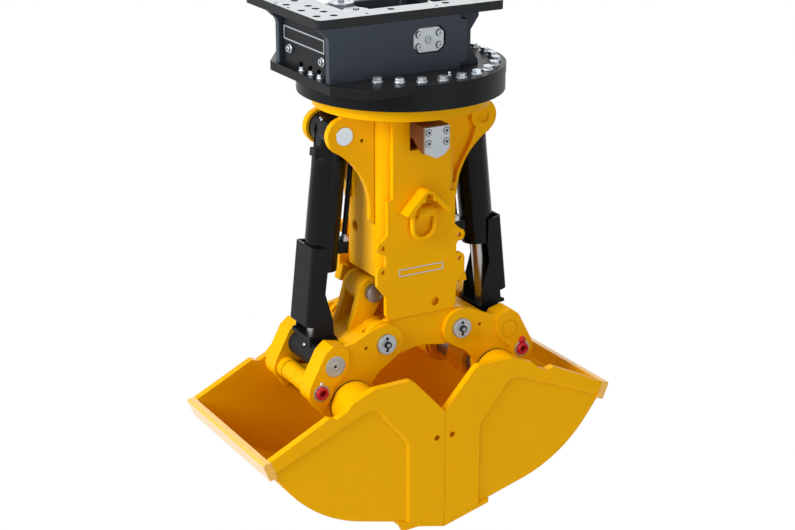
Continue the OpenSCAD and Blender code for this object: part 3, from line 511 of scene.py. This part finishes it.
# %% Places and directions
MM = 1000
SLEW_X, SLEW_Y = 0.036, -0.054
LEFT, RIGHT, FRONT, REAR, UP = (-1, 0, 0), (1, 0, 0), (0, -1, 0), (0, 1, 0), (0, 0, 1)
SIDES = ((False, "left"), (True, "right"))


def place(x, y, z):
    """A point in metres, from millimetres off the slewing axis and the mounting face."""
    return Vector((x / MM + SLEW_X, y / MM + SLEW_Y, z / MM))


def turned(point, half):
    """The same point on the left, or on the right after half a turn."""
    return (-point[0], -point[1], point[2]) if half else tuple(point)


def on_circle(radius, degrees):
    """A point on a circle about the slewing axis, as x and y."""
    return radius * math.cos(math.radians(degrees)), radius * math.sin(math.radians(degrees))


def facing(point, direction):
    """A matrix that stands a stack at a point with its height along a direction."""
    return Matrix.Translation(point) @ Vector(direction).to_track_quat("Z", "Y").to_matrix().to_4x4()


print("slewing axis at", SLEW_X, SLEW_Y)

# %% [markdown]
# ## Stacks of rings
# Plugs, screw heads and nipples are turned parts. Each is a stack of rings: circles and hexagons
# of different sizes, one above the other, with faces between them, as on a lathe. A stack can
# also be open through its middle, as a washer is. Then its last ring joins its first.

# %% Helpers for stacks
RING_STEPS = 36
SMOOTH_BELOW = math.radians(40)


def ring_point(radius, step, hexagonal):
    """One corner of a ring: on a circle, or on the hexagon around it."""
    angle = 2 * math.pi * step / RING_STEPS
    if hexagonal:
        side_angle = (angle + math.pi / 6) % (math.pi / 3) - math.pi / 6
        radius = radius / math.cos(side_angle)
    return radius * math.cos(angle), radius * math.sin(angle)


def join_loops(bm, loops):
    """Faces between each loop of corners and the next one."""
    for low, high in zip(loops, loops[1:]):
        for step in range(len(low)):
            after = (step + 1) % len(low)
            bm.faces.new((low[step], low[after], high[after], high[step]))


def add_stack(bm, rings, matrix, through):
    """Adds a stack to a mesh. A ring is (radius, height), with a third value for a hexagon."""
    loops = []
    for ring in rings:
        corners = [ring_point(ring[0] / MM, step, len(ring) > 2) for step in range(RING_STEPS)]
        loops.append([bm.verts.new(matrix @ Vector((x, y, ring[1] / MM))) for x, y in corners])
    if through:
        join_loops(bm, loops + loops[:1])
    else:
        join_loops(bm, loops)
        bm.faces.new(list(reversed(loops[0])))
        bm.faces.new(loops[-1])


def finish_piece(name, bm, finish, body):
    """Turns a bmesh into a piece that rides on a body and takes a finish."""
    bmesh.ops.recalc_face_normals(bm, faces=bm.faces)
    mesh = bpy.data.meshes.new(name)
    bm.to_mesh(mesh)
    bm.free()
    mesh.materials.append(finish)
    mesh.polygons.foreach_set("use_smooth", [True] * len(mesh.polygons))
    mesh.set_sharp_from_angle(angle=SMOOTH_BELOW)
    piece = bpy.data.objects.new(name, mesh)
    scene.collection.objects.link(piece)
    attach(piece, body)


def fittings(name, rings, spots, finish, body, through=False):
    """One piece that holds the same fitting at several spots, each a (point, direction)."""
    bm = bmesh.new()
    for point, direction in spots:
        add_stack(bm, rings, facing(point, direction), through)
    finish_piece(name, bm, finish, body)
    print(name, "on", body, "x", len(spots))


# %% [markdown]
# ## Plugs and covers of the adapter
# The end plate carries two screw plugs with a hexagon socket, and the hose port a flatter one.
# The plate of the port and the valve's cover are each held by four screws; the shade in their
# countersinks and sockets is painted as flat dark rings and hexagons.

# %% Plugs and covers
PLUG = [
    (10, 0), (10, 3.5), (9.3, 4.2), (7.2, 4.2), (7.0, 8.6), (6.4, 9.2),
    (3.4, 9.2, "hex"), (3.4, 3.4, "hex"), (0.2, 3.0),
]
PORT_PLUG = [(9, 0), (9, 1.6), (8.4, 2.2), (4.2, 2.2, "hex"), (4.2, 0.4, "hex"), (0.2, 0.3)]
# Painted shade: a flat dark ring in each countersink and a flat dark hexagon in each socket.
COUNTERSINK_SHADE = [(7.9, -0.2), (7.9, 0.2), (6.7, 0.2), (6.6, -0.2)]
SOCKET_SHADE = [(2.9, -0.1, "hex"), (2.9, 0.2, "hex"), (0.2, 0.2)]
END_X = -232
PLUGS_Y, PLUGS_Z = (-82, 67), -96
PORT_Y, PORT_Z = -119, -67
COVER_Y = -158
end_plug_spots = [(place(END_X, y, PLUGS_Z), LEFT) for y in PLUGS_Y]
fittings("end_plugs", PLUG, end_plug_spots, zinc, "adapter")
fittings("port_plug", PORT_PLUG, [(place(0, PORT_Y, PORT_Z), FRONT)], steel, "adapter")


def cover_screws(owner, body, face_y, head_height, places):
    """Painted shade round the screws of a cover, as dark rings, and in the sockets of their heads, as dark
    hexagons.
    """
    rings = [(place(x, face_y, z), FRONT) for x, z in places]
    heads = [(place(x, face_y - head_height, z), FRONT) for x, z in places]
    fittings(f"{owner}_countersink_shade", COUNTERSINK_SHADE, rings, black, body, through=True)
    fittings(f"{owner}_socket_shade", SOCKET_SHADE, heads, black, body)


port_screws = [(x, PORT_Z + z) for x in (-25, 25) for z in (-13, 13)]
valve_screws = [(x, z) for x in (-22, 22) for z in (-258, -282)]
cover_screws("port", "adapter", PORT_Y, 1, port_screws)
cover_screws("valve", "column", COVER_Y, 2, valve_screws)

# %% [markdown]
# ## Nipple and motor screws
# A grease nipple for the slewing ring stands on the base plate in front of the box: a hexagon
# with a waisted neck. Four socket screws hold each slewing motor. The motors sit where their
# pinions mesh, so their angles are counted in teeth of the gear ring.

# %% Nipple and motor screws
NIPPLE = [
    (4.2, 0, "hex"), (4.2, 3.2, "hex"), (3.0, 3.6), (1.8, 5.6), (2.7, 6.6), (2.9, 7.8), (2.2, 9.2),
    (1.0, 10.0),
]
NIPPLE_PLACE = (15, -179, -135)
SOCKET_SCREW = [(5.0, 0), (5.0, 4.4), (4.6, 5.0), (2.6, 5.0, "hex"), (2.6, 2.2, "hex"), (0.2, 1.9)]
RING_TEETH = 84
MOTOR_PITCHES = (45, 35)
MOTOR_CIRCLE = 128
SCREW_CIRCLE = 34
DIAGONALS = (45, 135, 225, 315)
FLANGE_TOP = -21
motor_axes = [on_circle(MOTOR_CIRCLE, pitches * 360 / RING_TEETH) for pitches in MOTOR_PITCHES]
screw_offsets = [on_circle(SCREW_CIRCLE, angle) for angle in DIAGONALS]
motor_spots = [
    (place(x + dx, y + dy, FLANGE_TOP), UP) for x, y in motor_axes for dx, dy in screw_offsets
]
fittings("base_nipple", NIPPLE, [(place(*NIPPLE_PLACE), UP)], zinc, "adapter")
fittings("motor_screws", SOCKET_SCREW, motor_spots, steel, "adapter")

# %% [markdown]
# ## Name plates
# The adapter and the front panel each carry a bare plate in a thin zinc frame. A frame is four
# loops of corners: foot and head of its outside, then head and foot of its inside. The field
# inside it is a lower plate of its own.

# %% Name plates
RIM_HEIGHT = 1.6
FIELD_HEIGHT = 0.6


def rectangle(bm, spot, size, level):
    """The four corners of a rectangle, at a height over the face that carries the plate."""
    middle, across, out = spot
    across, up, out = Vector(across), Vector(UP), Vector(out)
    return [
        bm.verts.new(middle + (across * sx * size[0] / 2 + up * sy * size[1] / 2 + out * level) / MM)
        for sx, sy in ((-1, -1), (1, -1), (1, 1), (-1, 1))
    ]


def name_plate(name, spot, outer, rim, field_finish, body):
    """A bare plate in a raised zinc frame; the spot is its middle and the ways across and out."""
    inner = (outer[0] - 2 * rim, outer[1] - 2 * rim)
    rim_bm = bmesh.new()
    rim_loops = [
        rectangle(rim_bm, spot, size, level)
        for size, level in ((outer, 0), (outer, RIM_HEIGHT), (inner, RIM_HEIGHT), (inner, 0))
    ]
    join_loops(rim_bm, rim_loops + rim_loops[:1])
    finish_piece(name + "_rim", rim_bm, zinc, body)
    field_bm = bmesh.new()
    field_loops = [rectangle(field_bm, spot, inner, level) for level in (0, FIELD_HEIGHT)]
    join_loops(field_bm, field_loops)
    for loop in field_loops:
        field_bm.faces.new(loop)
    finish_piece(name + "_field", field_bm, field_finish, body)
    print(name, "on", body)


name_plate("end_plate", (place(END_X, 4, -64), REAR, LEFT), (186, 30), 3, black, "adapter")
name_plate("panel_plate", (place(-1.5, -94, -588.5), RIGHT, FRONT), (113, 17), 2, yellow, "column")

# %% [markdown]
# ## Places on a cylinder
# The cylinders lean outwards, so a place on a cylinder is given in its own frame: the origin is
# the head pin, Z runs up along the rod, and X looks to the column. The tilt follows from how far
# the rod's eye lies outwards of the head pin, and below it.

# %% Places on a cylinder
HEAD_X, HEAD_Z = -172.5, -269
EYE_OUT, EYE_DOWN = 54.5, 501
TILT = math.atan2(EYE_OUT, EYE_DOWN)
ROD_LENGTH = math.hypot(EYE_OUT, EYE_DOWN)


def leaning(x, z):
    """An offset in the cylinder's frame, as x and z of the slewing frame."""
    return x * math.cos(TILT) + z * math.sin(TILT), -x * math.sin(TILT) + z * math.cos(TILT)


def on_cylinder(half, x, y, z):
    """A point of the left or right cylinder, from its own frame in millimetres."""
    dx, dz = leaning(x, z)
    return place(*turned((HEAD_X + dx, y, HEAD_Z + dz), half))


def cylinder_way(half, x, y, z):
    """A direction in the cylinder's frame."""
    dx, dz = leaning(x, z)
    return turned((dx, y, dz), half)


print("the cylinders lean by", round(math.degrees(TILT), 1), "degrees")

# %% [markdown]
# ## Fittings of the cylinders
# A barrel has two turned grooves and a steel wiper at its mouth. The feed pipe meets it in an
# elbow at the top and a ferrule at the gland. Head and rod eye are greased through a nipple, and
# the one in the rod eye sits in a turned rim, a little above the middle of the eye's outer side.

# %% Fittings of the cylinders
SEAM = [(37.0, -0.8), (38.25, -0.6), (38.25, 0.6), (37.0, 0.8)]
WIPER = [(27, -0.4), (27, 2.4), (25.5, 3.2), (18.6, 3.2), (18.4, -0.4)]
FERRULE = [(9.6, 0.1, "hex"), (9.6, 11.4, "hex"), (8.8, 12.4), (7.4, 12.4), (7.4, 15.0), (6.2, 15.4)]
ELBOW = [(8.6, 0, "hex"), (8.6, 9, "hex"), (7.4, 10), (7.4, 26), (6.6, 27)]
EYE_RING = [(9.5, -1), (9.5, 0.8), (8.6, 1.3), (7.4, 1.0), (7.0, -1)]
EYE_NIPPLE = [(4.6, -1, "hex"), (4.6, 1.6, "hex"), (3.2, 2.2), (2.6, 3.4), (1.2, 4.0)]
SEAMS_Z = (-247, -64)
MOUTH_Z = -311
FERRULE_X, FERRULE_Z = 55, -251
ELBOW_X, ELBOW_Z = 35.6, -46
HEAD_FACE = 23.4
EYE_FACE = 29.6
EYE_Y = -4
EYE_TURN = math.radians(38)
for half, side in SIDES:
    barrel, rod = side + "_barrel", side + "_rod"
    down = cylinder_way(half, 0, 0, -1)
    seams = [(on_cylinder(half, 0, 0, z), down) for z in SEAMS_Z]
    mouth = [(on_cylinder(half, 0, 0, MOUTH_Z), down)]
    ferrule = [(on_cylinder(half, FERRULE_X, 0, FERRULE_Z), cylinder_way(half, 0, 0, 1))]
    elbow = [(on_cylinder(half, ELBOW_X, 0, ELBOW_Z), cylinder_way(half, 1, 0, 0))]
    head = [(on_cylinder(half, -HEAD_FACE, 0, HEAD_FACE), cylinder_way(half, -1, 0, 1))]
    way_x, way_z = -math.cos(EYE_TURN), math.sin(EYE_TURN)
    eye_point = on_cylinder(half, EYE_FACE * way_x, EYE_Y, EYE_FACE * way_z - ROD_LENGTH)
    eye = [(eye_point, cylinder_way(half, way_x, 0, way_z))]
    fittings(f"barrel_seam_{side}", SEAM, seams, black, barrel, through=True)
    fittings(f"wiper_{side}", WIPER, mouth, steel, barrel, through=True)
    fittings(f"pipe_ferrule_{side}", FERRULE, ferrule, zinc, barrel)
    fittings(f"pipe_elbow_{side}", ELBOW, elbow, zinc, barrel)
    fittings(f"head_nipple_{side}", NIPPLE, head, zinc, barrel)
    fittings(f"eye_ring_{side}", EYE_RING, eye, black_gloss, rod, through=True)
    fittings(f"eye_nipple_{side}", EYE_NIPPLE, eye, zinc, rod)

# %% [markdown]
# ## Fittings of the arms
# A disc and a screw in a dark cup close each pivot pin; two small openings in the disc are
# painted shade, as flat dark discs. One end of each rod pin is a turned disc, whose middle hole is
# painted shade the same way. Each lock bolt shows a red ring, with a clip on the left arm and a
# knob on the right one, and a dark ring lies where the shaft enters the shell.

# %% Profiles for the arms
PIVOT_CUP = [(7.9, -4.4), (8.2, -4.4), (8.2, 0.6), (7.4, 0.9), (5.6, 0.3), (0.2, 0.3)]
PIVOT_CORE = [(4.6, 0.2), (4.6, 1.6), (4.0, 2.2), (2.4, 2.2, "hex"), (2.4, 0.8, "hex"), (0.2, 0.7)]
PIVOT_RIM = [(22.6, -0.2), (22.6, 0.3), (21.6, 0.5), (21.4, -0.2)]
# Flat dark discs: painted shade in the small openings of the pivot discs.
HOLE_SHADE_ON_DISC = [(3.7, -0.2), (3.7, 0.25), (0.2, 0.25)]
PIN_RIM = [
    (23.3, -0.2), (23.3, 0.6), (17.4, 0.6), (17.0, 0.2), (10.0, 0.2), (9.6, 0.8), (5.4, 0.8),
    (5.0, 0.2), (3.2, 0.2), (3.0, -0.2),
]
# A flat dark disc: painted shade in the middle hole of the rod pin disc.
HOLE_SHADE_ON_PIN = [(3.0, -0.2), (3.0, 0.25), (0.2, 0.25)]
# A dark ring round the shaft where it enters the shell.
BOSS_RING = [(51, 0.1), (52.5, 0.1), (52.5, 3.4), (51, 3.4)]
LOCK_RING = [
    (14.2, -0.4), (14.6, 1.4), (14.2, 3.2), (12.8, 4.6), (10.8, 5.0), (8.8, 4.4), (7.6, 3.0),
    (7.4, -0.4),
]
LOCK_CLIP = [(4.4, -0.2), (4.6, 1.6), (3.6, 3.0), (0.2, 3.4)]
LOCK_KNOB = [(8.6, -0.2), (8.9, 2.4), (8.0, 5.0), (5.6, 6.6), (0.2, 7.0)]
SYNC_RIM = [(17.5, -0.2), (17.5, 1.2), (15.5, 1.2), (15.3, -0.2)]
print("profiles for the arms are ready")

# %% [markdown]
# The arms are alike on their front and rear faces, so one helper gives both spots of a fitting,
# each at the same distance from the middle plane. Where only one face has it, the first of the
# two is taken.

# %% Fittings of the arms
PIVOT, ROD_PIN, SHAFT, LOCK = (-98, -743), (-227, -770), (-187, -865), (-262, -825)
SYNC_PIN = (-95, -643)
DISC_FACE = 113
SCREW_FACE = 118
PAD_FACE = 110
BOLT_FACE = 114
BOSS_FACE = 107
SYNC_FACE = 54.5
HOLE_RISE = 0.014
TAB_RISE = 21


def on_both_faces(half, centre, face_y):
    """A fitting's spots on the front and rear face of an arm, by the centre's x and z."""
    return [
        (place(*turned((centre[0], face_y * way, centre[1]), half)), turned(direction, half))
        for way, direction in ((-1, FRONT), (1, REAR))
    ]


for half, side in SIDES:
    body = side + "_shell"
    screws = on_both_faces(half, PIVOT, SCREW_FACE)
    discs = on_both_faces(half, PIVOT, DISC_FACE)
    hole_shades = [
        (point + Vector((0, 0, rise)), way) for point, way in discs for rise in (-HOLE_RISE, HOLE_RISE)
    ]
    bosses = on_both_faces(half, SHAFT, BOSS_FACE)
    locks = on_both_faces(half, LOCK, BOLT_FACE)
    front_pin = on_both_faces(half, ROD_PIN, PAD_FACE)[:1]
    tabs = on_both_faces(half, (LOCK[0], LOCK[1] + TAB_RISE), PAD_FACE)
    tab_profile, tab_finish = (LOCK_KNOB, red) if half else (LOCK_CLIP, zinc)
    fittings(f"pivot_cups_{side}", PIVOT_CUP, screws, black, body)
    fittings(f"pivot_cores_{side}", PIVOT_CORE, screws, steel, body)
    fittings(f"pivot_rims_{side}", PIVOT_RIM, discs, dull_zinc, body, through=True)
    fittings(f"pivot_hole_shades_{side}", HOLE_SHADE_ON_DISC, hole_shades, black, body)
    fittings(f"rod_pin_rim_{side}", PIN_RIM, front_pin, dull_zinc, body, through=True)
    fittings(f"rod_pin_centre_shade_{side}", HOLE_SHADE_ON_PIN, front_pin, black, body)
    fittings(f"boss_rings_{side}", BOSS_RING, bosses, black, body, through=True)
    fittings(f"lock_rims_{side}", LOCK_RING, locks, red, body, through=True)
    fittings(f"lock_tabs_{side}", tab_profile, tabs, tab_finish, body)
sync_spots = on_both_faces(False, SYNC_PIN, SYNC_FACE)
fittings("sync_pin_rims", SYNC_RIM, sync_spots, steel, "left_shell", through=True)

# %% [markdown]
# ## Inside the adapter
# Through the window of the top plate one looks down on the two motors and on the rotary union,
# which carries the oil into the turning column. The motor caps have a turned rim and a hexagon
# screw, and four hose ends stand on the union.

# %% Inside the adapter
MOTOR_RIM = [(26.8, -0.2), (26.8, 0.7), (22.5, 0.7), (22.2, 0.1), (12, 0.1), (11.8, -0.2)]
CAP_SCREW = [(6, -0.2, "hex"), (6, 4, "hex"), (5.2, 4.8), (0.2, 4.8)]
HOSE_END = [(11, 0, "hex"), (11, 8, "hex"), (9, 9), (9, 14), (6, 14), (6, 6), (0.2, 6)]
CAP_TOP = -7
UNION_TOP = -45
HOSE_CIRCLE = 32
caps = [(place(x, y, CAP_TOP), UP) for x, y in motor_axes]
hose_spots = [(place(*on_circle(HOSE_CIRCLE, angle), UNION_TOP), UP) for angle in DIAGONALS]
fittings("motor_cap_rims", MOTOR_RIM, caps, zinc, "adapter", through=True)
fittings("motor_cap_screws", CAP_SCREW, caps, steel, "adapter")
fittings("union_fittings", HOSE_END, hose_spots, zinc, "adapter")
